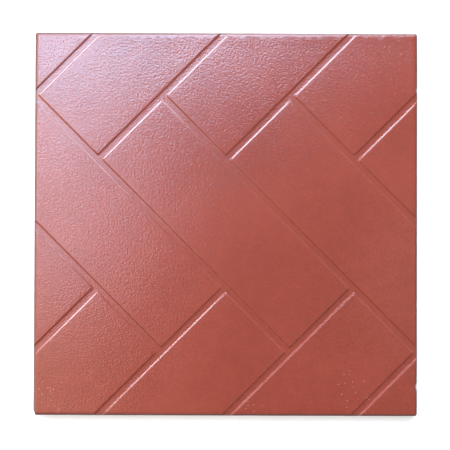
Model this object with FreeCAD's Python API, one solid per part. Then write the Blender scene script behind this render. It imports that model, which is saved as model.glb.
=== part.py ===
import FreeCAD, Part
import math
import os

# Fired clay floor tile. Its face carries a herringbone of false joints, so that one square
# tile reads as a floor of narrow blocks, and its back is keyed for the bed that it is laid in.
# Millimetres and degrees. +Z is up, the face is on top, and the origin is the centre of the
# back.

# Slab: the side is measured at the back, and each wall leans in by SIDE_LEAN at the face
TILE_SIDE = 300.0
TILE_THICKNESS = 20.0
SIDE_LEAN = 0.4
CORNER_RADIUS = 2.5
ARRIS_RADIUS = 1.6

# False joints in the face: a block is BLOCK_RATIO times as long as it is wide, and the
# opening is measured between the flat walls, carried up to the face
BLOCK_RATIO = 3
JOINT_OPENING = 6.2
JOINT_FLOOR = 3.9
JOINT_DEPTH = 0.7
JOINT_FOOT_RADIUS = 1.1
JOINT_SHOULDER_RADIUS = 1.2
JOINT_LIP_ANGLE = 12.0

# Keys in the back, which stop short of the tile's sides by a plain margin
KEY_PITCH = 28.0
KEY_MOUTH = 12.0
KEY_FLOOR = 9.0
KEY_DEPTH = 1.5
KEY_MARGIN = 12.0

# How far a cutter stands clear of the surface that it cuts, and how near two points on
# crossing cutters are to count as one
CUT_CLEARANCE = 1.0
CUT_TOLERANCE = 0.0001


def tapered_block(low_size, high_size, bottom, top):
    """Block on the Z axis with flat sloping sides; each size is its extent along X and Y."""
    low_x, low_y = (size / 2.0 for size in low_size)
    high_x, high_y = (size / 2.0 for size in high_size)
    block = Part.makeWedge(-low_x, bottom, -low_y, -high_y, -high_x,
                           low_x, top, low_y, high_y, high_x)
    block.rotate(FreeCAD.Vector(0.0, 0.0, 0.0), FreeCAD.Vector(1.0, 0.0, 0.0), 90.0)
    return block


def slab():
    """Plain tile: sides leaning in towards the face, round corners, rounded upper arris."""
    face_side = TILE_SIDE - 2.0 * SIDE_LEAN
    block = tapered_block((TILE_SIDE, TILE_SIDE), (face_side, face_side), 0.0, TILE_THICKNESS)
    uprights = [edge for edge in block.Edges if edge.BoundBox.ZLength > TILE_THICKNESS / 2.0]
    block = block.makeFillet(CORNER_RADIUS, uprights)
    rim = [edge for edge in block.Edges if edge.BoundBox.ZMin > TILE_THICKNESS / 2.0]
    return block.makeFillet(ARRIS_RADIUS, rim)


def joint_half_section():
    """Corner points of one side of a joint's section, from its floor to above the face.

    The wall meets the floor in a round foot. At the top a round shoulder turns it to the lip
    angle, at which it leaves the face.
    """
    wall_angle = math.atan2(2.0 * JOINT_DEPTH, JOINT_OPENING - JOINT_FLOOR)
    lip_angle = math.radians(JOINT_LIP_ANGLE)
    foot_run = JOINT_FOOT_RADIUS * math.tan(wall_angle / 2.0)
    foot_x = JOINT_FLOOR / 2.0 - foot_run

    def on_foot(angle):
        x = foot_x + JOINT_FOOT_RADIUS * math.sin(angle)
        return FreeCAD.Vector(x, 0.0, JOINT_FOOT_RADIUS * (1.0 - math.cos(angle)))

    shoulder_z = JOINT_DEPTH - JOINT_SHOULDER_RADIUS * math.cos(lip_angle)
    wall_foot = on_foot(wall_angle)
    wall_top_z = shoulder_z + JOINT_SHOULDER_RADIUS * math.cos(wall_angle)
    wall_top_x = wall_foot.x + (wall_top_z - wall_foot.z) / math.tan(wall_angle)
    shoulder_x = wall_top_x + JOINT_SHOULDER_RADIUS * math.sin(wall_angle)

    def on_shoulder(angle):
        x = shoulder_x - JOINT_SHOULDER_RADIUS * math.sin(angle)
        return FreeCAD.Vector(x, 0.0, shoulder_z + JOINT_SHOULDER_RADIUS * math.cos(angle))

    lip = on_shoulder(lip_angle)
    above = lip + FreeCAD.Vector(CUT_CLEARANCE / math.tan(lip_angle), 0.0, CUT_CLEARANCE)
    foot = [on_foot(0.0), on_foot(wall_angle / 2.0), wall_foot]
    shoulder = [on_shoulder(wall_angle), on_shoulder((wall_angle + lip_angle) / 2.0), lip]
    return foot, shoulder, above


def joint_profile():
    """Section of a false joint in the XZ plane, its floor on Z = 0 and its axis on X = 0."""
    foot, shoulder, above = joint_half_section()

    def mirrored(point):
        return FreeCAD.Vector(-point.x, 0.0, point.z)

    def line(start, end):
        return Part.LineSegment(start, end).toShape()

    def arc(points):
        return Part.Arc(*points).toShape()

    right = [arc(foot), line(foot[2], shoulder[0]), arc(shoulder), line(shoulder[2], above)]
    foot_left = [mirrored(point) for point in reversed(foot)]
    shoulder_left = [mirrored(point) for point in reversed(shoulder)]
    left = [line(mirrored(above), shoulder_left[0]), arc(shoulder_left),
            line(shoulder_left[2], foot_left[0]), arc(foot_left)]
    edges = right + [line(above, mirrored(above))] + left + [line(foot_left[2], foot[0])]
    return Part.Face(Part.Wire(edges))


def joint(centre_x, centre_y, reach, rise):
    """One straight joint about its centre, going reach to each side along X and along Y.

    It climbs to the right where rise is 1 and falls to the right where rise is -1.
    """
    length = 2.0 * reach * math.sqrt(2.0)
    bar = joint_profile().extrude(FreeCAD.Vector(0.0, length, 0.0))
    bar.translate(FreeCAD.Vector(0.0, -length / 2.0, 0.0))
    bar.rotate(FreeCAD.Vector(0.0, 0.0, 0.0), FreeCAD.Vector(0.0, 0.0, 1.0), -45.0 * rise)
    bar.translate(FreeCAD.Vector(centre_x, centre_y, TILE_THICKNESS - JOINT_DEPTH))
    return bar


def herringbone():
    """All joints of the face. Each ends on the axis of the joint that it meets.

    The blocks lie at 45 degrees, so the pattern repeats every unit across the tile and once
    up the tile. Falling joints are centred on the tile's middle line. Rising ones are centred
    on its lower and upper edges, half a unit over, and carry on in the tile beyond.
    """
    unit = TILE_SIDE / BLOCK_RATIO
    reach = unit * (BLOCK_RATIO + 1) / 4.0
    joints = []
    for step in range(-BLOCK_RATIO - 1, BLOCK_RATIO + 1):
        falling_x = (step + 0.5) * unit
        rising_x = (step + 1.0) * unit
        joints.append(joint(falling_x, 0.0, reach, -1))
        joints.append(joint(rising_x, TILE_SIDE / 2.0, reach, 1))
        joints.append(joint(rising_x, -TILE_SIDE / 2.0, reach, 1))
    return [bar for bar in joints if bar.BoundBox.intersect(face_box())]


def face_box():
    """Bounds of the tile's top, within which a joint has something to cut."""
    half = TILE_SIDE / 2.0
    return FreeCAD.BoundBox(-half, -half, 0.0, half, half, TILE_THICKNESS)


def key(centre_x):
    """One shallow key groove of the back, closed at both ends by the plain margin."""
    slope = (KEY_MOUTH - KEY_FLOOR) / KEY_DEPTH
    length = TILE_SIDE - 2.0 * KEY_MARGIN
    widened = CUT_CLEARANCE * slope
    narrowed = KEY_DEPTH * slope
    low = (KEY_MOUTH + widened, length + widened)
    high = (KEY_FLOOR, length - narrowed)
    cutter = tapered_block(low, high, -CUT_CLEARANCE, KEY_DEPTH)
    cutter.translate(FreeCAD.Vector(centre_x, 0.0, 0.0))
    return cutter


def keys():
    """As many keys side by side as the back has room for between its margins."""
    room = TILE_SIDE - 2.0 * KEY_MARGIN - KEY_MOUTH
    count = int(room / KEY_PITCH) + 1
    first_x = -KEY_PITCH * (count - 1) / 2.0
    return [key(first_x + KEY_PITCH * index) for index in range(count)]


def floor_tile():
    """The whole tile as one solid."""
    tile = slab().cut(keys(), CUT_TOLERANCE)
    tile = tile.cut(herringbone(), CUT_TOLERANCE)
    return tile.removeSplitter().Solids[0]


os.makedirs("parts", exist_ok=True)
tile = floor_tile()
tile.exportStep("parts/floor_tile.step")
print("valid", tile.isValid(), "faces", len(tile.Faces), "volume", round(tile.Volume, 1))
print("box", tile.optimalBoundingBox(True, False))
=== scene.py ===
"""Looks of the herringbone floor tile, laid out as an add-on and run as a script. Metres."""

import bpy
import math
from bpy.props import FloatProperty, FloatVectorProperty, IntProperty, PointerProperty
from mathutils import Euler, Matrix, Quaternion, Vector


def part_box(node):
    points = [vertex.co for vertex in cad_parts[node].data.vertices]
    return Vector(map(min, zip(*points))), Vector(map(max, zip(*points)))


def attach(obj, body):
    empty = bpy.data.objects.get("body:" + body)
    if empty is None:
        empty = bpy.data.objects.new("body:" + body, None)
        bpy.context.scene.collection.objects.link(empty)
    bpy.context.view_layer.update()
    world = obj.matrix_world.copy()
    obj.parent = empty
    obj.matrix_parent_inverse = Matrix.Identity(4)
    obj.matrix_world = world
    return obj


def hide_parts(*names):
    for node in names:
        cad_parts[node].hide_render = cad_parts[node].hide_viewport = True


bl_info = {
    "name": "Herringbone floor tile",
    "version": (1, 0, 0),
    "blender": (4, 5, 0),
    "location": "3D View > Sidebar > Floor tile",
    "description": "Fired clay floor tile with a herringbone of false joints, and its studio",
    "category": "Object",
}

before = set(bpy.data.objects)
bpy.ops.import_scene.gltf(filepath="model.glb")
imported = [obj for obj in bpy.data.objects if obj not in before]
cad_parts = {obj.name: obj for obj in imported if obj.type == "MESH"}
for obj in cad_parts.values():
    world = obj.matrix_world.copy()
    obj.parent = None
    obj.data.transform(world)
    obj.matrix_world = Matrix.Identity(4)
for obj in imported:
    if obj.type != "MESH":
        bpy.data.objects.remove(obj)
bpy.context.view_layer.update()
TILE_LOW, TILE_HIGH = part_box("floor_tile")

MM = 0.001

# How finely the tile's mesh is divided. A strip along each joint, given in openings of the
# joint to each side of its axis, is divided more finely than the blocks.
JOINT_STRIP = 0.60
JOINT_STEPS = 40
BLOCK_STEPS = 12
SLAB_STEP = 1.0 * MM
CORNER_STEPS = 8
FOOT_ROWS = 3
WALL_ROWS = 9
ARRIS_ROWS = 8

# How near two points are to count as one, while the bodies are made and at the end, and the
# bend in degrees past which an edge of the mesh stays sharp
WELD = 0.001 * MM
LAST_WELD = 0.004 * MM
SHARP_BEND = 38.0

# How far the body under the face stands past the sides, and the slab above the face
BODY_OVERHANG = 8.0 * MM
SLAB_PEAK = 1.5 * MM

# How much of a joint wall's width its round lip and its round foot take up
LIP_SHARE = 0.24
FOOT_SHARE = 0.22

# Soft easing of the face into a joint and of the joint's floor into its foot: slope at the
# start and the distance over which it fades
LIP_EASE = 0.038
LIP_FADE = 0.42 * MM
FOOT_EASE = 0.042
FOOT_FADE = 0.48 * MM

# Slow bends of the joints in plan
JOINT_BEND = 0.15 * MM
JOINT_BEND_SPACING = 20.0 * MM

# Slow waves of the face: spacing, share left at its edges, and the distances from the edge
# between which they grow to their full height
WAVE_SPACING = 48.0 * MM
WAVE_AT_EDGE = 0.15
WAVE_GROWTH = (2.0 * MM, 12.0 * MM)

# Slab: rounding of its lower edge, how its wall's rows crowd towards the face, and the waves
# of its outline
FOOT_RADIUS = 0.6 * MM
ROW_CROWDING = 0.6
OUTLINE_WAVE = 0.25 * MM
OUTLINE_WAVE_SPACING = 22.0 * MM

# How far the skin of the face rolls down towards its edges
RIM_DROP = 0.18 * MM

# Chips and nicks in the upper edges: which way the side faces, how far along it the damage
# lies, and its length, depth into the tile and drop below the face
RIGHT = (1.0, 0.0)
LEFT = (-1.0, 0.0)
TOP = (0.0, 1.0)
CHIPS = (
    (RIGHT, -126.7 * MM, 7.0 * MM, 1.3 * MM, 5.0 * MM),
    (RIGHT, 104.7 * MM, 3.5 * MM, 1.3 * MM, 5.0 * MM),
    (TOP, 96.0 * MM, 3.5 * MM, 0.6 * MM, 1.8 * MM),
    (TOP, 112.0 * MM, 5.0 * MM, 0.9 * MM, 2.4 * MM),
    (TOP, 122.0 * MM, 3.0 * MM, 0.7 * MM, 1.8 * MM),
    (TOP, 131.0 * MM, 4.0 * MM, 1.0 * MM, 2.4 * MM),
    (TOP, 141.0 * MM, 3.5 * MM, 0.8 * MM, 2.0 * MM),
    (LEFT, 143.0 * MM, 3.5 * MM, 0.7 * MM, 2.0 * MM),
    (LEFT, -148.0 * MM, 5.0 * MM, 0.9 * MM, 9.0 * MM),
)

# Raggedness of the chips, and the share of a chip's reach at which it has its full depth
CHIP_RAGGED = 0.9
CHIP_RAGGED_SPACING = 1.3 * MM
CHIP_HEART = 0.35

# Skin: grit bumps and pits to one bump of the grain, and size and depth of the pits
GRIT_FINENESS = 4.0
PIT_FINENESS = 0.38
PIT_SIZE = 0.10
PIT_DEPTH = 0.5

# Mottle of the clay: spacing and weight of its clouds, patches and specks, and the sums
# between which it goes from the main colour to the deep one
CLOUD_SPACING = 60.0 * MM
CLOUD_WEIGHT = 0.55
PATCH_SPACING = 9.0 * MM
PATCH_WEIGHT = 0.35
SPECK_SPACING = 1.5 * MM
SPECK_WEIGHT = 0.50
TONE_RANGE = (0.50, 0.95)

# Wear of the joint walls and dust of the raw clay: spacing, and values between which each
# goes from none to full
WEAR_SPACING = 5.0 * MM
WEAR_RANGE = (0.40, 0.62)
DUST_SPACING = 3.0 * MM
DUST_RANGE = (0.42, 0.72)

# How much of another colour each zone takes on
JOINT_TINT = 0.12
WALL_WEAR = 0.06
RAW_PALENESS = 0.30
RAW_DUST = 0.5
# The edge soil is partly soil and partly painted shade: a dark band that stands in for the shade
# on the edges
EDGE_SOIL_AND_SHADE = 0.80
FLECK_STRENGTH = 0.40

# What patches and zones add to the skin's roughness, the roughest that they make it, and the
# strength of its gloss
PATCH_ROUGHNESS = 0.06
RAW_ROUGHNESS = 0.50
WALL_ROUGHNESS = -0.03
EDGE_ROUGHNESS = 0.20
ROUGHEST = 0.92
SKIN_GLOSS = 0.6

# Share of the grain and of the grit that the joints' walls lack
WALL_GRAIN_LOSS = 0.92
WALL_GRIT_LOSS = 0.85

# Where the zones start and are complete: distances inside the outline, below the face and
# above the back, and shares of the joints' depth
OFF_RIM = (1.2 * MM, 2.4 * MM)
FLANK = (1.3 * MM, 0.7 * MM)
FLANK_BELOW = (1.2 * MM, 3.0 * MM)
BACK_ABOVE = (3.0 * MM, 1.8 * MM)
# The soiled rim is also painted shade: a dark band along the edges in place of their shade
SOILED_AND_SHADED_RIM = (2.7 * MM, 1.6 * MM)
ROLLED_RIM = (3.6 * MM, 1.0 * MM)
JOINT_DEEP = (0.4, 0.95)
WALL_TOP = (0.20, 0.31)
WALL_BOTTOM = (1.10, 0.97)

# Pale flecks: spacing, soft outline of one in spacings, share kept in a patch's heart, and the
# heart's share of the patch's radius
FLECK_SPACING = 2.2 * MM
FLECK_OUTLINE = (0.24, 0.12)
FLECKS_KEPT = 0.4
PATCH_HEART = 0.2

# Patches of pale flecks on the face: centre along X and Y, and radius
FLECK_PATCHES = (
    (-137.0 * MM, -136.0 * MM, 22.0 * MM),
    (20.0 * MM, -142.0 * MM, 16.0 * MM),
    (96.0 * MM, -128.0 * MM, 20.0 * MM),
    (128.0 * MM, 148.0 * MM, 26.0 * MM),
)

# Soft lights of the studio: brightness setting, place, width, height and turn in degrees
SOFT_LIGHTS = (
    ("window_light", (-0.185, 0.700, 2.671), 1.030, 0.419, 11.7),
    ("lamp_light", (-0.462, 0.130, 1.499), 0.339, 0.637, -10.3),
    ("panel_light", (0.190, 1.970, 0.816), 0.815, 2.002, 0.0),
    ("low_light", (-1.879, 2.127, 1.005), 1.403, 0.680, 1.6),
    ("side_light", (-1.350, -0.300, 1.605), 1.300, 2.500, 5.0),
    ("edge_light", (-0.100, 1.000, 2.200), 1.300, 0.450, 0.0),
    ("wall_light", (-2.000, 0.000, 0.500), 2.200, 0.800, 0.0),
    ("door_light", (0.600, -0.080, 2.350), 0.280, 0.400, 0.0),
    ("corner_light", (-1.970, -1.380, 1.000), 0.600, 0.700, 0.0),
    ("near_light", (1.700, -1.700, 1.800), 0.800, 0.520, 0.0),
    ("far_light", (1.155, 2.070, 1.120), 0.770, 0.800, 0.0),
    ("far_wall", (1.780, 1.610, 1.150), 1.600, 1.200, 0.0),
)

# Camera: width of the film in millimetres, focal length in film widths, place over the tile
# and small turns off straight down, in degrees
FILM_WIDTH = 36.0
CAMERA_ZOOM = 3.4189
CAMERA_OFFSET = (-0.0005, -0.0236)
CAMERA_TURNS = (1.084, 0.0, 0.191)

# Studio floor: half its width, its roughness, and spacing and strength of its faint mottle
FLOOR_REACH = 4.0
FLOOR_ROUGHNESS = 0.6
FLOOR_MOTTLE_SPACING = 0.3
FLOOR_MOTTLE = 1.02


class TileShape(bpy.types.PropertyGroup):
    """Sizes of the tile's finished surface."""

    side: FloatProperty(
        name="Side", description="Length of each side, measured at the back",
        default=TILE_HIGH[0] - TILE_LOW[0], unit="LENGTH")
    thickness: FloatProperty(
        name="Thickness", description="Height of the face over the back",
        default=TILE_HIGH[2] - TILE_LOW[2], unit="LENGTH")
    side_lean: FloatProperty(
        name="Side lean", description="How far each side leans in from the back to the face",
        default=0.4 * MM, unit="LENGTH")
    corner_radius: FloatProperty(
        name="Corner radius", description="Rounding of the four corners in plan",
        default=2.5 * MM, unit="LENGTH")
    arris_radius: FloatProperty(
        name="Arris radius", description="Rounding between the face and the sides",
        default=1.6 * MM, unit="LENGTH")
    block_ratio: IntProperty(
        name="Block ratio", description="Length of a herringbone block over its width",
        default=3, min=2)
    joint_opening: FloatProperty(
        name="Joint opening", description="Width of a false joint over its round lips",
        default=6.46 * MM, unit="LENGTH")
    joint_floor: FloatProperty(
        name="Joint floor", description="Width of the flat bottom of a false joint",
        default=3.75 * MM, unit="LENGTH")
    joint_depth: FloatProperty(
        name="Joint depth", description="Depth of a false joint",
        default=0.685 * MM, unit="LENGTH")
    block_corner: FloatProperty(
        name="Block corner", description="Softness of the blocks' corners in plan",
        default=2.0 * MM, unit="LENGTH")
    unevenness: FloatProperty(
        name="Unevenness", description="How far the face sinks below a true plane",
        default=0.16 * MM, unit="LENGTH")
    key_pitch: FloatProperty(
        name="Key pitch", description="Distance between the keys of the back",
        default=28.0 * MM, unit="LENGTH")
    key_mouth: FloatProperty(
        name="Key mouth", description="Width of a key at the back",
        default=12.0 * MM, unit="LENGTH")
    key_floor: FloatProperty(
        name="Key floor", description="Width of a key at its bottom",
        default=9.0 * MM, unit="LENGTH")
    key_depth: FloatProperty(
        name="Key depth", description="Depth of a key",
        default=1.5 * MM, unit="LENGTH")
    key_margin: FloatProperty(
        name="Key margin", description="Plain border round the keys",
        default=12.0 * MM, unit="LENGTH")


class TileFinish(bpy.types.PropertyGroup):
    """Colours and grain of the fired clay."""

    clay: FloatVectorProperty(
        name="Clay", description="Main colour of the moulded skin",
        default=(0.2520, 0.0460, 0.0269), size=3, subtype="COLOR", min=0.0, max=1.0)
    deep_clay: FloatVectorProperty(
        name="Deep clay", description="Darker clay of the patches and joint floors",
        default=(0.2060, 0.0346, 0.0194), size=3, subtype="COLOR", min=0.0, max=1.0)
    worn_clay: FloatVectorProperty(
        name="Worn clay", description="Paler clay of the sides, the back and rubbed joint walls",
        default=(0.560, 0.235, 0.165), size=3, subtype="COLOR", min=0.0, max=1.0)
    dust: FloatVectorProperty(
        name="Dust", description="Pale dust caught in the flecks",
        default=(0.62, 0.42, 0.34), size=3, subtype="COLOR", min=0.0, max=1.0)
    # Edge soil is partly soil and partly painted shade: the dark band round the rim stands in for
    # the shaded edges
    edge_soil_and_shade: FloatVectorProperty(
        name="Edge soil", description="Brown soil rubbed into the edges and sides",
        default=(0.105, 0.046, 0.035), size=3, subtype="COLOR", min=0.0, max=1.0)
    grain_height: FloatProperty(
        name="Grain height", description="Height of the skin's orange-peel grain",
        default=0.0635 * MM, unit="LENGTH")
    grit_height: FloatProperty(
        name="Grit height", description="Height of the fine grit between the bumps",
        default=0.0140 * MM, unit="LENGTH")
    grain_spacing: FloatProperty(
        name="Grain spacing", description="Distance between two bumps of the grain",
        default=1.27 * MM, unit="LENGTH")
    sheen_roughness: FloatProperty(
        name="Skin roughness", description="Roughness of the satin skin",
        default=0.155, min=0.0, max=1.0, subtype="FACTOR")


class TileStudio(bpy.types.PropertyGroup):
    """Camera and light of the studio."""

    camera_height: FloatProperty(
        name="Camera height", description="Height of the camera over the face",
        default=1.2, unit="LENGTH")
    window_light: FloatVectorProperty(
        name="Window light", description="Brightness of the cool window at the upper left",
        default=(9.60, 14.50, 20.40), size=3, min=0.0)
    lamp_light: FloatVectorProperty(
        name="Lamp light", description="Brightness of the lamp panel at the left",
        default=(5.10, 4.40, 5.45), size=3, min=0.0)
    panel_light: FloatVectorProperty(
        name="Panel light", description="Brightness of the soft panel beyond the upper edge",
        default=(9.29, 9.92, 10.82), size=3, min=0.0)
    low_light: FloatVectorProperty(
        name="Low light", description="Brightness of the far low light that rims the joints",
        default=(19.4, 22.7, 26.6), size=3, min=0.0)
    edge_light: FloatVectorProperty(
        name="Edge light", description="Brightness of the panel that rims the far edge",
        default=(6.6, 7.6, 9.2), size=3, min=0.0)
    door_light: FloatVectorProperty(
        name="Door light", description="Brightness of the dim open door at the right",
        default=(0.72, 1.00, 1.06), size=3, min=0.0)
    wall_light: FloatVectorProperty(
        name="Left wall", description="Brightness of the low pale wall at the left",
        default=(3.2, 3.2, 3.3), size=3, min=0.0)
    corner_light: FloatVectorProperty(
        name="Corner light", description="Brightness of the dim blue corner at the lower left",
        default=(0.8, 0.9, 1.3), size=3, min=0.0)
    side_light: FloatVectorProperty(
        name="Side light", description="Brightness of the warm curtain beside the tile",
        default=(2.25, 1.62, 1.20), size=3, min=0.0)
    near_light: FloatVectorProperty(
        name="Near light", description="Brightness of the dim lamp beyond the lower right",
        default=(1.5, 1.7, 2.1), size=3, min=0.0)
    far_light: FloatVectorProperty(
        name="Far light", description="Brightness of the low window beyond the upper right",
        default=(8.2, 9.0, 10.8), size=3, min=0.0)
    far_wall: FloatVectorProperty(
        name="Far wall", description="Brightness of the dim wall at the upper right",
        default=(0.42, 0.42, 0.44), size=3, min=0.0)
    room_light: FloatProperty(
        name="Room light", description="Brightness of the even light of the room",
        default=0.230, min=0.0)
    floor_glow: FloatVectorProperty(
        name="Floor glow", description="Light that the white floor gives off from below",
        default=(0.26, 0.33, 0.34), size=3, min=0.0)
    floor_paint: FloatVectorProperty(
        name="Floor", description="Colour of the pale studio floor",
        default=(0.93, 0.93, 0.925), size=3, subtype="COLOR", min=0.0, max=1.0)


class Graph:
    """Shorthand for filling a node tree. Any input takes a socket or a plain value."""

    def __init__(self, tree):
        self.tree = tree

    def feed(self, socket, value):
        if isinstance(value, bpy.types.NodeSocket):
            self.tree.links.new(value, socket)
        else:
            socket.default_value = value

    def node(self, kind, inputs=None, **settings):
        node = self.tree.nodes.new(kind)
        for name, value in settings.items():
            setattr(node, name, value)
        for key, value in (inputs or {}).items():
            self.feed(node.inputs[key], value)
        return node

    def math(self, operation, *values):
        node = self.node("ShaderNodeMath", dict(enumerate(values)), operation=operation)
        return node.outputs[0]

    def add(self, *values):
        total = values[0]
        for value in values[1:]:
            total = self.math("ADD", total, value)
        return total

    def times(self, *values):
        product = values[0]
        for value in values[1:]:
            product = self.math("MULTIPLY", product, value)
        return product

    def minus(self, first, second):
        return self.math("SUBTRACT", first, second)

    def over(self, first, second):
        return self.math("DIVIDE", first, second)

    def ramp(self, value, start, end, low=0.0, high=1.0, soft=True):
        """Goes from low to high as the value goes from start to end, and stays there."""
        kind = "SMOOTHSTEP" if soft else "LINEAR"
        inputs = {0: value, 1: start, 2: end, 3: low, 4: high}
        node = self.node("ShaderNodeMapRange", inputs, interpolation_type=kind, clamp=True)
        return node.outputs[0]

    def vector(self, x=0.0, y=0.0, z=0.0):
        return self.node("ShaderNodeCombineXYZ", {0: x, 1: y, 2: z}).outputs[0]

    def parts(self, vector):
        return self.node("ShaderNodeSeparateXYZ", {0: vector}).outputs

    def move(self, operation, *vectors):
        node = self.node("ShaderNodeVectorMath", dict(enumerate(vectors)), operation=operation)
        return node.outputs["Value" if operation in ("LENGTH", "DISTANCE") else "Vector"]

    def stretch(self, vector, factor):
        node = self.node("ShaderNodeVectorMath", {0: vector, "Scale": factor}, operation="SCALE")
        return node.outputs["Vector"]

    def noise(self, place, spacing, detail=2.0, roughness=0.5):
        """Smooth random values from 0 to 1 whose bumps lie about one spacing apart."""
        inputs = {"Vector": place, "Scale": 1.0 / spacing, "Detail": detail,
                  "Roughness": roughness}
        return self.node("ShaderNodeTexNoise", inputs).outputs[0]

    def blend(self, factor, first, second):
        """Colour between two colours."""
        inputs = {0: factor, 6: first, 7: second}
        return self.node("ShaderNodeMix", inputs, data_type="RGBA").outputs[2]


def new_group(name, kind, inputs, outputs):
    """Empty node group with named sockets, and the graph and sockets to fill it with."""
    tree = bpy.data.node_groups.new(name, kind)
    identifiers = {}
    for label, socket_kind in inputs:
        socket = tree.interface.new_socket(label, in_out="INPUT", socket_type=socket_kind)
        identifiers[label] = socket.identifier
    for label, socket_kind in outputs:
        tree.interface.new_socket(label, in_out="OUTPUT", socket_type=socket_kind)
    graph = Graph(tree)
    start = graph.node("NodeGroupInput").outputs
    end = graph.node("NodeGroupOutput").inputs
    return graph, start, end, identifiers


# Shape of the tile: its lengths, in the order of the tree's inputs

TILE_LENGTHS = (
    "Side", "Thickness", "Side Lean", "Corner Radius", "Arris Radius", "Joint Opening",
    "Joint Floor", "Joint Depth", "Block Corner", "Unevenness", "Key Pitch", "Key Mouth",
    "Key Floor", "Key Depth", "Key Margin")


def joint_strokes(graph, shape, rise, rows):
    """Axes of the joints that rise (1) or fall (-1), one each unit, centred on the rows."""
    unit = graph.over(shape["Side"], shape["Block Ratio"])
    count = graph.times(shape["Block Ratio"], 2.0)
    reach = graph.times(unit, graph.over(graph.add(shape["Block Ratio"], 1.0), 4.0))
    reach = graph.minus(reach, graph.over(shape["Joint Floor"], 2.0 * math.sqrt(2.0)))
    down = graph.times(reach, -1.0)
    stroke = graph.node("GeometryNodeMeshLine", {
        "Count": 2,
        "Start Location": graph.vector(down, graph.times(down, float(rise))),
        "Offset": graph.vector(reach, graph.times(reach, float(rise))),
    }, mode="END_POINTS").outputs["Mesh"]
    joined = graph.node("GeometryNodeJoinGeometry")
    for row_height, shift in rows:
        first = graph.times(unit, graph.minus(shift, graph.over(count, 2.0)))
        points = graph.node("GeometryNodeMeshLine", {
            "Count": graph.add(count, 1.0),
            "Start Location": graph.vector(first, graph.times(shape["Side"], row_height)),
            "Offset": graph.vector(unit),
        }, mode="OFFSET").outputs["Mesh"]
        placed = graph.node("GeometryNodeInstanceOnPoints",
                            {"Points": points, "Instance": stroke}).outputs[0]
        graph.tree.links.new(placed, joined.inputs[0])
    return graph.node("GeometryNodeRealizeInstances", {0: joined.outputs[0]}).outputs[0]


def joint_distance(graph, shape, place):
    """Distance from the nearest joint axis in plan, eased where two joints meet."""
    x, y = graph.parts(place)[:2]
    flat = graph.vector(x, y)
    distances = []
    for rise, rows in ((-1, ((0.0, 0.5),)), (1, ((0.5, 0.0), (-0.5, 0.0)))):
        strokes = joint_strokes(graph, shape, rise, rows)
        near = graph.node("GeometryNodeProximity", {0: strokes, "Sample Position": flat},
                          target_element="EDGES")
        distances.append(near.outputs["Distance"])
    return graph.math("SMOOTH_MIN", *distances, shape["Block Corner"])


def wall_fall(graph, wall):
    """Share of a joint's depth reached part of the way from its lip (0) to its foot (1).

    The wall is straight in the middle, with a round lip and a round foot.
    """
    into_lip = graph.math("MINIMUM", graph.math("MAXIMUM", wall, 0.0), LIP_SHARE)
    to_foot = graph.math("MINIMUM", graph.math("MAXIMUM", graph.minus(1.0, wall), 0.0),
                         FOOT_SHARE)
    straight = graph.ramp(wall, LIP_SHARE, 1.0 - FOOT_SHARE, 0.0,
                          1.0 - FOOT_SHARE - LIP_SHARE, soft=False)
    lip = graph.over(graph.times(into_lip, into_lip), 2.0 * LIP_SHARE)
    foot = graph.minus(FOOT_SHARE / 2.0,
                       graph.over(graph.times(to_foot, to_foot), 2.0 * FOOT_SHARE))
    return graph.over(graph.add(lip, straight, foot),
                      1.0 - (LIP_SHARE + FOOT_SHARE) / 2.0)


def face_height(graph, shape, place):
    """Height of the face: gently uneven blocks between joints with round lips and feet."""
    distance = joint_distance(graph, shape, place)
    bend = graph.minus(graph.noise(place, JOINT_BEND_SPACING, 0.0), 0.5)
    distance = graph.add(distance, graph.times(bend, JOINT_BEND))
    lip = graph.over(shape["Joint Opening"], 2.0)
    foot = graph.over(shape["Joint Floor"], 2.0)
    wall = graph.over(graph.minus(lip, distance), graph.minus(lip, foot))
    sunk = graph.times(wall_fall(graph, wall), shape["Joint Depth"])
    off_lip = graph.math("MAXIMUM", graph.minus(distance, lip), 0.0)
    off_foot = graph.math("MAXIMUM", graph.minus(foot, distance), 0.0)
    lip_ease = graph.times(graph.math("EXPONENT", graph.over(off_lip, -LIP_FADE)),
                           LIP_EASE * LIP_FADE)
    foot_ease = graph.times(
        graph.minus(1.0, graph.math("EXPONENT", graph.over(off_foot, -FOOT_FADE))),
        FOOT_EASE * FOOT_FADE)
    sunk = graph.add(sunk, lip_ease, foot_ease)
    x, y = graph.parts(place)[:2]
    half = graph.over(shape["Side"], 2.0)
    edge = graph.minus(half, graph.math("MAXIMUM", graph.math("ABSOLUTE", x),
                                        graph.math("ABSOLUTE", y)))
    inside = graph.ramp(edge, *WAVE_GROWTH, WAVE_AT_EDGE, 1.0)
    wave = graph.times(graph.noise(place, WAVE_SPACING, 1.0), shape["Unevenness"], inside)
    return graph.minus(shape["Thickness"], graph.add(sunk, wave))


def crowded(graph, coordinate, joint_share, joint_zone):
    """Moves grid lines, given in block widths, towards the joint axes between them."""
    cell = graph.math("FLOOR", coordinate)
    across = graph.minus(graph.minus(coordinate, cell), 0.5)
    away = graph.math("ABSOLUTE", across)
    near = graph.times(graph.math("MINIMUM", away, joint_share),
                       graph.over(joint_zone, joint_share))
    stretch = graph.over(graph.minus(0.5, joint_zone), 0.5 - joint_share)
    far = graph.times(graph.math("MAXIMUM", graph.minus(away, joint_share), 0.0), stretch)
    moved = graph.times(graph.math("SIGN", across), graph.add(near, far))
    return graph.add(cell, 0.5, moved)


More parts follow.
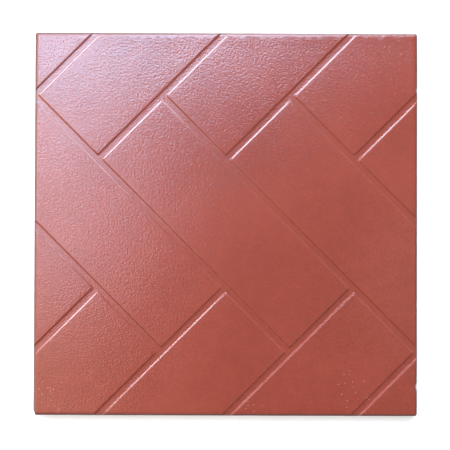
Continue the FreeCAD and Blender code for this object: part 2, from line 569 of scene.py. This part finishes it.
def face_body(graph, shape):
    """Closed body under the tile's face, larger than the tile and cut to its outline later.

    Its grid lies along the joints, at 45 degrees to the sides, with close lines across each
    joint and wide ones over the blocks.
    """
    unit = graph.over(shape["Side"], shape["Block Ratio"])
    block_width = graph.over(unit, math.sqrt(2.0))
    cells = graph.times(graph.add(shape["Block Ratio"], 1.0), 2.0)
    lines = graph.add(graph.times(cells, float(JOINT_STEPS + BLOCK_STEPS)), 1.0)
    grid = graph.node("GeometryNodeMeshGrid", {
        "Size X": cells, "Size Y": cells, "Vertices X": lines, "Vertices Y": lines,
    }).outputs["Mesh"]
    place = graph.node("GeometryNodeInputPosition").outputs[0]
    along, across = graph.parts(place)[:2]
    joint_share = JOINT_STEPS / 2.0 / (JOINT_STEPS + BLOCK_STEPS)
    joint_zone = graph.over(graph.times(shape["Joint Opening"], JOINT_STRIP), block_width)
    warped = graph.vector(crowded(graph, along, joint_share, joint_zone),
                          crowded(graph, across, joint_share, joint_zone))
    turned = graph.node("ShaderNodeVectorRotate",
                        {"Vector": warped, "Angle": math.radians(45.0)},
                        rotation_type="Z_AXIS").outputs[0]
    x, y = graph.parts(graph.stretch(turned, block_width))[:2]
    below = graph.vector(x, y, graph.times(shape["Thickness"], -1.0))
    grid = graph.node("GeometryNodeSetPosition", {"Geometry": grid, "Position": below}).outputs[0]

    x, y = graph.parts(place)[:2]
    reach = graph.math("MAXIMUM", graph.math("ABSOLUTE", x), graph.math("ABSOLUTE", y))
    limit = graph.add(graph.over(shape["Side"], 2.0), BODY_OVERHANG)
    outside = graph.math("GREATER_THAN", reach, limit)
    grid = graph.node("GeometryNodeDeleteGeometry",
                      {"Geometry": grid, "Selection": outside}).outputs[0]

    lift = graph.vector(0.0, 0.0, graph.times(shape["Thickness"], 2.0))
    grown = graph.node("GeometryNodeExtrudeMesh",
                       {"Mesh": grid, "Offset": lift, "Offset Scale": 1.0, "Individual": False},
                       mode="FACES")
    height = face_height(graph, shape, place)
    face_place = graph.vector(x, y, height)
    raised = graph.node("GeometryNodeSetPosition", {
        "Geometry": grown.outputs["Mesh"], "Selection": grown.outputs["Top"],
        "Position": face_place}).outputs[0]
    bottom = graph.node("GeometryNodeFlipFaces", {0: grid}).outputs[0]
    joined = graph.node("GeometryNodeJoinGeometry")
    graph.tree.links.new(raised, joined.inputs[0])
    graph.tree.links.new(bottom, joined.inputs[0])
    return graph.node("GeometryNodeMergeByDistance",
                      {0: joined.outputs[0], "Distance": WELD}).outputs[0]


def edge_damage(graph, shape, place):
    """How far the chips and nicks of the upper edges reach into the tile at a place."""
    deepest = 0.0
    half = graph.over(shape["Side"], 2.0)
    rough = graph.noise(place, CHIP_RAGGED_SPACING, 1.0)
    for (out_x, out_y), along, length, depth, drop in CHIPS:
        centre = graph.vector(graph.add(graph.times(half, out_x), along * abs(out_y)),
                              graph.add(graph.times(half, out_y), along * abs(out_x)),
                              shape["Thickness"])
        offset = graph.parts(graph.move("SUBTRACT", place, centre))
        run = graph.over(graph.add(graph.times(offset[0], abs(out_y)),
                                   graph.times(offset[1], abs(out_x))), length / 2.0)
        fall = graph.over(offset[2], drop)
        inward = graph.over(graph.add(graph.times(offset[0], abs(out_x)),
                                      graph.times(offset[1], abs(out_y))), length)
        spread = graph.move("LENGTH", graph.vector(run, inward, fall))
        ragged = graph.add(spread, graph.times(graph.minus(rough, 0.5), CHIP_RAGGED))
        bite = graph.times(graph.ramp(ragged, 1.0, CHIP_HEART), depth)
        deepest = graph.math("MAXIMUM", deepest, bite)
    return deepest


def slab_body(graph, shape):
    """Closed rounded slab that gives the tile its outline, arris, corners and chips."""
    width = shape["Side"]
    outline = graph.node("GeometryNodeCurvePrimitiveQuadrilateral",
                         {"Width": width, "Height": width}).outputs[0]
    outline = graph.node("GeometryNodeFilletCurve",
                         {"Curve": outline, "Count": CORNER_STEPS,
                          "Radius": shape["Corner Radius"]},
                         mode="POLY").outputs[0]
    rows = FOOT_ROWS + WALL_ROWS + ARRIS_ROWS
    columns = graph.math("ROUND", graph.over(graph.times(width, 4.0), SLAB_STEP))
    strip = graph.node("GeometryNodeMeshGrid", {
        "Size X": 1.0, "Size Y": float(rows), "Vertices X": columns, "Vertices Y": rows + 1,
    }).outputs["Mesh"]
    place = graph.node("GeometryNodeInputPosition").outputs[0]
    along, up = graph.parts(place)[:2]
    row = graph.add(up, rows / 2.0)
    sample = graph.node("GeometryNodeSampleCurve",
                        {"Curves": outline, "Factor": graph.add(along, 0.5)}, mode="FACTOR")
    rim = sample.outputs["Position"]
    rim_x, rim_y = graph.parts(rim)[:2]
    core = graph.minus(graph.over(width, 2.0), shape["Corner Radius"])

    def past_core(value):
        over = graph.math("MAXIMUM", graph.minus(graph.math("ABSOLUTE", value), core), 0.0)
        return graph.times(graph.math("SIGN", value), over)

    outward = graph.move("NORMALIZE", graph.vector(past_core(rim_x), past_core(rim_y)))

    foot_turn = graph.ramp(row, 0.0, float(FOOT_ROWS), -math.pi / 2.0, 0.0, soft=False)
    climb = graph.ramp(row, float(FOOT_ROWS), float(FOOT_ROWS + WALL_ROWS), soft=False)
    climb = graph.math("POWER", climb, ROW_CROWDING)
    arris_turn = graph.ramp(row, float(FOOT_ROWS + WALL_ROWS), float(rows), 0.0,
                            math.pi / 2.0, soft=False)
    foot_in = graph.times(graph.minus(1.0, graph.math("COSINE", foot_turn)), FOOT_RADIUS)
    foot_up = graph.times(graph.add(graph.math("SINE", foot_turn), 1.0), FOOT_RADIUS)
    arris_in = graph.times(graph.minus(1.0, graph.math("COSINE", arris_turn)),
                           shape["Arris Radius"])
    arris_up = graph.times(graph.math("SINE", arris_turn), shape["Arris Radius"])
    straight = graph.minus(graph.minus(shape["Thickness"], shape["Arris Radius"]), FOOT_RADIUS)
    height = graph.add(foot_up, graph.times(climb, straight), arris_up)
    inset = graph.add(foot_in, graph.times(climb, shape["Side Lean"]), arris_in)
    lifted = graph.move("ADD", graph.move("SUBTRACT", rim, graph.stretch(outward, inset)),
                        graph.vector(0.0, 0.0, height))
    waves = graph.times(graph.noise(lifted, OUTLINE_WAVE_SPACING, 3.0), OUTLINE_WAVE)
    worn = graph.add(edge_damage(graph, shape, lifted), waves)
    finished = graph.move("SUBTRACT", lifted, graph.stretch(outward, worn))
    strip = graph.node("GeometryNodeSetPosition",
                       {"Geometry": strip, "Position": finished}).outputs[0]
    strip = graph.node("GeometryNodeMergeByDistance",
                       {0: strip, "Distance": WELD}).outputs[0]

    uses = graph.node("GeometryNodeInputMeshEdgeNeighbors").outputs[0]
    open_edge = graph.node("FunctionNodeCompare", {2: uses, 3: 1},
                           data_type="INT", operation="EQUAL").outputs[0]
    capped = graph.node("GeometryNodeExtrudeMesh",
                        {"Mesh": strip, "Selection": open_edge, "Offset Scale": 0.0},
                        mode="EDGES")
    level = graph.parts(place)[2]
    on_top = graph.math("GREATER_THAN", level, graph.over(shape["Thickness"], 2.0))
    peak = graph.times(on_top, graph.add(shape["Thickness"], SLAB_PEAK))
    closed = graph.node("GeometryNodeSetPosition", {
        "Geometry": capped.outputs["Mesh"], "Selection": capped.outputs["Top"],
        "Position": graph.vector(0.0, 0.0, peak)}).outputs[0]
    return graph.node("GeometryNodeMergeByDistance",
                      {0: closed, "Distance": WELD}).outputs[0]


def key_bodies(graph, shape):
    """Cutters of the back's keys: as many as fit between the margins."""
    length = graph.minus(shape["Side"], graph.times(shape["Key Margin"], 2.0))
    cube = graph.node("GeometryNodeMeshCube", {
        "Size": graph.vector(1.0, 1.0, graph.times(shape["Key Depth"], 2.0))}).outputs["Mesh"]
    place = graph.node("GeometryNodeInputPosition").outputs[0]
    x, y, z = graph.parts(place)
    top = graph.math("GREATER_THAN", z, 0.0)
    taper = graph.minus(shape["Key Mouth"], shape["Key Floor"])
    change = graph.minus(graph.times(taper, graph.minus(1.0, top)), graph.times(taper, top))
    wide = graph.add(shape["Key Mouth"], change)
    long = graph.add(length, change)
    cutter = graph.node("GeometryNodeSetPosition", {
        "Geometry": cube,
        "Position": graph.vector(graph.times(x, wide), graph.times(y, long), z)}).outputs[0]
    room = graph.minus(length, shape["Key Mouth"])
    gaps = graph.math("FLOOR", graph.over(room, shape["Key Pitch"]))
    first = graph.times(graph.times(shape["Key Pitch"], gaps), -0.5)
    points = graph.node("GeometryNodeMeshLine", {
        "Count": graph.add(gaps, 1.0), "Start Location": graph.vector(first),
        "Offset": graph.vector(shape["Key Pitch"])}, mode="OFFSET").outputs["Mesh"]
    placed = graph.node("GeometryNodeInstanceOnPoints",
                        {"Points": points, "Instance": cutter}).outputs[0]
    return graph.node("GeometryNodeRealizeInstances", {0: placed}).outputs[0]


def tile_tree():
    """Geometry Nodes tree of the whole tile, with its sizes as named inputs."""
    inputs = [(label, "NodeSocketFloat") for label in TILE_LENGTHS]
    inputs += [("Block Ratio", "NodeSocketInt"), ("Finish", "NodeSocketMaterial")]
    graph, shape, end, identifiers = new_group(
        "Herringbone tile", "GeometryNodeTree", inputs, [("Geometry", "NodeSocketGeometry")])
    whole = graph.node("GeometryNodeMeshBoolean", operation="INTERSECT", solver="MANIFOLD")
    graph.tree.links.new(face_body(graph, shape), whole.inputs["Mesh 2"])
    graph.tree.links.new(slab_body(graph, shape), whole.inputs["Mesh 2"])
    keyed = graph.node("GeometryNodeMeshBoolean", {
        "Mesh 1": whole.outputs["Mesh"], "Mesh 2": key_bodies(graph, shape)},
        operation="DIFFERENCE", solver="MANIFOLD").outputs["Mesh"]
    clean = graph.node("GeometryNodeMergeByDistance",
                       {0: keyed, "Distance": LAST_WELD}).outputs[0]
    smooth = graph.node("GeometryNodeSetShadeSmooth", {0: clean}).outputs[0]
    bend = graph.node("GeometryNodeInputMeshEdgeAngle").outputs["Unsigned Angle"]
    sharp = graph.math("GREATER_THAN", bend, math.radians(SHARP_BEND))
    marked = graph.node("GeometryNodeStoreNamedAttribute",
                        {"Geometry": smooth, "Name": "sharp_edge", "Value": sharp},
                        data_type="BOOLEAN", domain="EDGE").outputs[0]
    real = graph.node("GeometryNodeRealizeInstances", {0: marked}).outputs[0]
    dressed = graph.node("GeometryNodeSetMaterial",
                         {"Geometry": real, "Material": shape["Finish"]}).outputs[0]
    graph.tree.links.new(dressed, end[0])
    return graph.tree, identifiers


def mesh_from_tree(name, tree, values):
    """Plain mesh object made by a Geometry Nodes tree with the given input values."""
    holder = bpy.data.objects.new(name + "_source", bpy.data.meshes.new(name + "_source"))
    bpy.context.scene.collection.objects.link(holder)
    modifier = holder.modifiers.new("Shape", "NODES")
    modifier.node_group = tree
    for identifier, value in values.items():
        modifier[identifier] = value
    depsgraph = bpy.context.evaluated_depsgraph_get()
    mesh = bpy.data.meshes.new_from_object(
        holder.evaluated_get(depsgraph), preserve_all_data_layers=True, depsgraph=depsgraph)
    mesh.name = name
    piece = bpy.data.objects.new(name, mesh)
    bpy.context.scene.collection.objects.link(piece)
    bpy.data.objects.remove(holder)
    return piece


# Finish of the clay

def skin_grain_group():
    """Relief of the moulded skin: orange-peel bumps, finer grit and scattered pits."""
    graph, start, end, _ = new_group(
        "Skin grain", "ShaderNodeTree",
        [("Place", "NodeSocketVector"), ("Spacing", "NodeSocketFloat"),
         ("Height", "NodeSocketFloat"), ("Grit Height", "NodeSocketFloat"),
         ("Pits", "NodeSocketFloat")],
        [("Relief", "NodeSocketFloat")])
    scale = graph.over(1.0, start["Spacing"])
    peel = graph.node("ShaderNodeTexNoise", {
        "Vector": start["Place"], "Scale": scale, "Detail": 0.0}).outputs[0]
    grit = graph.node("ShaderNodeTexNoise", {
        "Vector": start["Place"], "Scale": graph.times(scale, GRIT_FINENESS),
        "Detail": 0.0}).outputs[0]
    pit = graph.node("ShaderNodeTexVoronoi", {
        "Vector": start["Place"], "Scale": graph.times(scale, PIT_FINENESS)}).outputs["Distance"]
    hole = graph.ramp(pit, PIT_SIZE, 0.0)
    bumps = graph.minus(graph.minus(peel, 0.5), graph.times(hole, start["Pits"]))
    skin = graph.times(bumps, start["Height"])
    relief = graph.add(skin, graph.times(graph.minus(grit, 0.5), start["Grit Height"]))
    graph.tree.links.new(relief, end[0])
    return graph.tree


def fleck_group():
    """Mask of small pale flecks, scattered in a few patches of the face."""
    graph, start, end, _ = new_group(
        "Pale flecks", "ShaderNodeTree", [("Place", "NodeSocketVector")],
        [("Flecks", "NodeSocketFloat")])
    cells = graph.node("ShaderNodeTexVoronoi", {
        "Vector": start["Place"], "Scale": 1.0 / FLECK_SPACING})
    dot = graph.ramp(cells.outputs["Distance"], *FLECK_OUTLINE)
    chance = graph.parts(cells.outputs["Color"])[0]
    x, y = graph.parts(start["Place"])[:2]
    near = 0.0
    for centre_x, centre_y, radius in FLECK_PATCHES:
        offset = graph.vector(graph.minus(x, centre_x), graph.minus(y, centre_y))
        patch = graph.ramp(graph.move("LENGTH", offset), radius, PATCH_HEART * radius)
        near = graph.math("MAXIMUM", near, patch)
    kept = graph.math("LESS_THAN", chance, graph.times(near, FLECKS_KEPT))
    graph.tree.links.new(graph.times(dot, kept), end[0])
    return graph.tree


def tile_zones_group():
    """Masks of the tile's zones, from its own coordinates: joint floors, joint walls, the
    raw clay of the sides and back, the soiled edges and sides that also carry painted
    shade, and the rolled rim."""
    graph, start, end, _ = new_group(
        "Tile zones", "ShaderNodeTree",
        [("Place", "NodeSocketVector"), ("Side", "NodeSocketFloat"),
         ("Thickness", "NodeSocketFloat"), ("Joint Depth", "NodeSocketFloat")],
        [("Joint", "NodeSocketFloat"), ("Wall", "NodeSocketFloat"), ("Raw", "NodeSocketFloat"),
         ("Edge", "NodeSocketFloat"), ("Rim", "NodeSocketFloat")])
    x, y, z = graph.parts(start["Place"])
    below = graph.minus(start["Thickness"], z)
    half = graph.over(start["Side"], 2.0)
    inside = graph.minus(half, graph.math("MAXIMUM", graph.math("ABSOLUTE", x),
                                          graph.math("ABSOLUTE", y)))
    sunk = graph.over(below, start["Joint Depth"])
    joint = graph.times(graph.ramp(sunk, *JOINT_DEEP), graph.ramp(inside, *OFF_RIM))
    wall = graph.times(graph.ramp(sunk, *WALL_TOP), graph.ramp(sunk, *WALL_BOTTOM))
    flank = graph.times(graph.ramp(inside, *FLANK), graph.ramp(below, *FLANK_BELOW))
    raw = graph.math("MAXIMUM", flank, graph.ramp(z, *BACK_ABOVE))
    # Soiled edges and sides: a dark band that is partly painted shade of the edges
    edge = graph.ramp(inside, *SOILED_AND_SHADED_RIM)
    rim = graph.ramp(inside, *ROLLED_RIM, soft=False)
    rim = graph.times(rim, rim)
    for value, socket in zip((joint, wall, raw, edge, rim), end):
        graph.tree.links.new(value, socket)
    return graph.tree


def colour(value):
    """Red, green and blue with full opacity, as a colour socket takes them."""
    return (*value, 1.0)


def clay_material(shape, finish):
    """Fired clay: satin moulded skin on the face, soiled edges that are partly painted shade,
    matt sides and back.
    """
    material = bpy.data.materials.new("Fired clay")
    material.use_nodes = True
    graph = Graph(material.node_tree)
    shader = material.node_tree.nodes["Principled BSDF"]
    place = graph.node("ShaderNodeTexCoord").outputs["Object"]

    zones = graph.node("ShaderNodeGroup", node_tree=tile_zones_group())
    graph.feed(zones.inputs["Place"], place)
    zones.inputs["Side"].default_value = shape.side
    zones.inputs["Thickness"].default_value = shape.thickness
    zones.inputs["Joint Depth"].default_value = shape.joint_depth
    joint, wall, raw, edge, rim = zones.outputs

    cloud = graph.noise(place, CLOUD_SPACING, 3.0)
    patch = graph.noise(place, PATCH_SPACING, 3.0, 0.6)
    speck = graph.noise(place, SPECK_SPACING, 2.0, 0.6)
    depth = graph.add(graph.times(cloud, CLOUD_WEIGHT), graph.times(patch, PATCH_WEIGHT),
                      graph.times(speck, SPECK_WEIGHT))
    tone = graph.ramp(depth, *TONE_RANGE)
    base = graph.blend(tone, colour(finish.clay), colour(finish.deep_clay))
    base = graph.blend(graph.times(joint, JOINT_TINT), base, colour(finish.deep_clay))
    wear_noise = graph.ramp(graph.noise(place, WEAR_SPACING, 3.0, 0.6), *WEAR_RANGE)
    wear = graph.times(wall, wear_noise, WALL_WEAR)
    base = graph.blend(wear, base, colour(finish.worn_clay))
    dust = graph.ramp(graph.noise(place, DUST_SPACING, 4.0, 0.65), *DUST_RANGE)
    paleness = graph.add(RAW_PALENESS, graph.times(dust, RAW_DUST))
    base = graph.blend(graph.times(raw, paleness), base, colour(finish.worn_clay))
    # Dark soil on the edges and sides, partly painted shade standing in for the shaded edges
    base = graph.blend(graph.times(edge, EDGE_SOIL_AND_SHADE), base, colour(finish.edge_soil_and_shade))
    flecks = graph.node("ShaderNodeGroup", node_tree=fleck_group())
    graph.feed(flecks.inputs["Place"], place)
    base = graph.blend(graph.times(flecks.outputs[0], FLECK_STRENGTH), base, colour(finish.dust))
    graph.feed(shader.inputs["Base Color"], base)

    roughness = graph.add(finish.sheen_roughness,
                          graph.times(graph.minus(patch, 0.5), PATCH_ROUGHNESS),
                          graph.times(raw, RAW_ROUGHNESS), graph.times(wall, WALL_ROUGHNESS),
                          graph.times(edge, EDGE_ROUGHNESS))
    graph.feed(shader.inputs["Roughness"], graph.math("MINIMUM", roughness, ROUGHEST))
    shader.inputs["Specular IOR Level"].default_value = SKIN_GLOSS

    grain = graph.node("ShaderNodeGroup", node_tree=skin_grain_group())
    graph.feed(grain.inputs["Place"], place)
    grain.inputs["Spacing"].default_value = finish.grain_spacing
    smoothed = graph.minus(1.0, graph.times(wall, WALL_GRAIN_LOSS))
    graph.feed(grain.inputs["Height"], graph.times(smoothed, finish.grain_height / MM))
    gritty = graph.minus(1.0, graph.times(wall, WALL_GRIT_LOSS))
    graph.feed(grain.inputs["Grit Height"], graph.times(gritty, finish.grit_height / MM))
    grain.inputs["Pits"].default_value = PIT_DEPTH
    relief = graph.minus(grain.outputs[0], graph.times(rim, RIM_DROP / MM))
    bump = graph.node("ShaderNodeBump", {
        "Height": relief, "Strength": 1.0, "Distance": MM})
    graph.feed(shader.inputs["Normal"], bump.outputs[0])
    return material


def plain_material(name, value, roughness, glow):
    """Quiet painted surface for the studio floor, with a faint mottle, lit from below."""
    material = bpy.data.materials.new(name)
    material.use_nodes = True
    graph = Graph(material.node_tree)
    shader = material.node_tree.nodes["Principled BSDF"]
    place = graph.node("ShaderNodeTexCoord").outputs["Object"]
    paler = tuple(min(1.0, channel * FLOOR_MOTTLE) for channel in value)
    mottle = graph.noise(place, FLOOR_MOTTLE_SPACING)
    graph.feed(shader.inputs["Base Color"], graph.blend(mottle, colour(value), colour(paler)))
    shader.inputs["Roughness"].default_value = roughness
    shader.inputs["Emission Color"].default_value = colour(glow)
    shader.inputs["Emission Strength"].default_value = 1.0
    return material


class FLOORTILE_OT_build_tile(bpy.types.Operator):
    """Build the tile with its false joints, arrises, keys and fired clay finish."""

    bl_idname = "floor_tile.build_tile"
    bl_label = "Build tile"

    def execute(self, context):
        shape = context.scene.tile_shape
        finish = context.scene.tile_finish
        tree, identifiers = tile_tree()
        values = {}
        for label in TILE_LENGTHS + ("Block Ratio",):
            values[identifiers[label]] = getattr(shape, label.lower().replace(" ", "_"))
        values[identifiers["Finish"]] = clay_material(shape, finish)
        tile = mesh_from_tree("herringbone_tile", tree, values)
        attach(tile, "root")
        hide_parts("floor_tile")
        return {"FINISHED"}


def soft_light(name, place, width, height, turn, brightness):
    """Rectangular light that faces the tile, with the brightness that each colour shows."""
    light = bpy.data.lights.new(name, "AREA")
    light.shape = "RECTANGLE"
    light.size = width
    light.size_y = height
    peak = max(brightness)
    light.energy = peak * math.pi * width * height
    light.color = [channel / peak for channel in brightness]
    lamp = bpy.data.objects.new(name, light)
    lamp.location = place
    facing = Vector(place).to_track_quat("Z", "Y")
    spin = Quaternion((0.0, 0.0, 1.0), math.radians(turn))
    lamp.rotation_euler = (facing @ spin).to_euler()
    bpy.context.scene.collection.objects.link(lamp)


class FLOORTILE_OT_set_stage(bpy.types.Operator):
    """Lay the pale floor, hang the soft lights and place the camera over the tile."""

    bl_idname = "floor_tile.set_stage"
    bl_label = "Set stage"

    def execute(self, context):
        studio = context.scene.tile_studio
        scene = context.scene
        floor_mesh = bpy.data.meshes.new("studio_floor")
        corners = [(FLOOR_REACH * x, FLOOR_REACH * y, 0.0)
                   for x, y in ((-1, -1), (1, -1), (1, 1), (-1, 1))]
        floor_mesh.from_pydata(corners, [], [(0, 1, 2, 3)])
        floor = bpy.data.objects.new("studio_floor", floor_mesh)
        floor_mesh.materials.append(plain_material(
            "Pale floor", studio.floor_paint, FLOOR_ROUGHNESS, studio.floor_glow))
        scene.collection.objects.link(floor)

        world = bpy.data.worlds.new("Room light")
        world.use_nodes = True
        background = world.node_tree.nodes["Background"]
        background.inputs["Color"].default_value = (1.0, 1.0, 1.0, 1.0)
        background.inputs["Strength"].default_value = studio.room_light
        scene.world = world
        scene.view_settings.view_transform = "Standard"

        for name, place, width, height, turn in SOFT_LIGHTS:
            soft_light(name, place, width, height, turn, getattr(studio, name))

        camera_data = bpy.data.cameras.new("camera")
        camera_data.sensor_width = FILM_WIDTH
        camera_data.lens = FILM_WIDTH * CAMERA_ZOOM
        camera = bpy.data.objects.new("camera", camera_data)
        face = scene.tile_shape.thickness
        camera.location = (CAMERA_OFFSET[0], CAMERA_OFFSET[1], face + studio.camera_height)
        camera.rotation_euler = Euler([math.radians(turn) for turn in CAMERA_TURNS], "XYZ")
        scene.collection.objects.link(camera)
        scene.camera = camera
        return {"FINISHED"}


class FLOORTILE_PT_sidebar(bpy.types.Panel):
    """Steps and settings of the floor tile."""

    bl_label = "Floor tile"
    bl_space_type = "VIEW_3D"
    bl_region_type = "UI"
    bl_category = "Floor tile"

    def draw(self, context):
        layout = self.layout
        for operator in OPERATORS:
            layout.operator(operator.bl_idname)
        for group in ("tile_shape", "tile_finish", "tile_studio"):
            settings = getattr(context.scene, group)
            box = layout.box()
            for name in settings.__annotations__:
                box.prop(settings, name)


OPERATORS = (FLOORTILE_OT_build_tile, FLOORTILE_OT_set_stage)
SETTINGS = (TileShape, TileFinish, TileStudio)
CLASSES = SETTINGS + OPERATORS + (FLOORTILE_PT_sidebar,)


def register():
    for cls in CLASSES:
        bpy.utils.register_class(cls)
    bpy.types.Scene.tile_shape = PointerProperty(type=TileShape)
    bpy.types.Scene.tile_finish = PointerProperty(type=TileFinish)
    bpy.types.Scene.tile_studio = PointerProperty(type=TileStudio)


def unregister():
    for name in ("tile_studio", "tile_finish", "tile_shape"):
        delattr(bpy.types.Scene, name)
    for cls in reversed(CLASSES):
        bpy.utils.unregister_class(cls)


def main():
    register()
    bpy.ops.floor_tile.build_tile()
    bpy.ops.floor_tile.set_stage()


if __name__ == "__main__":
    main()
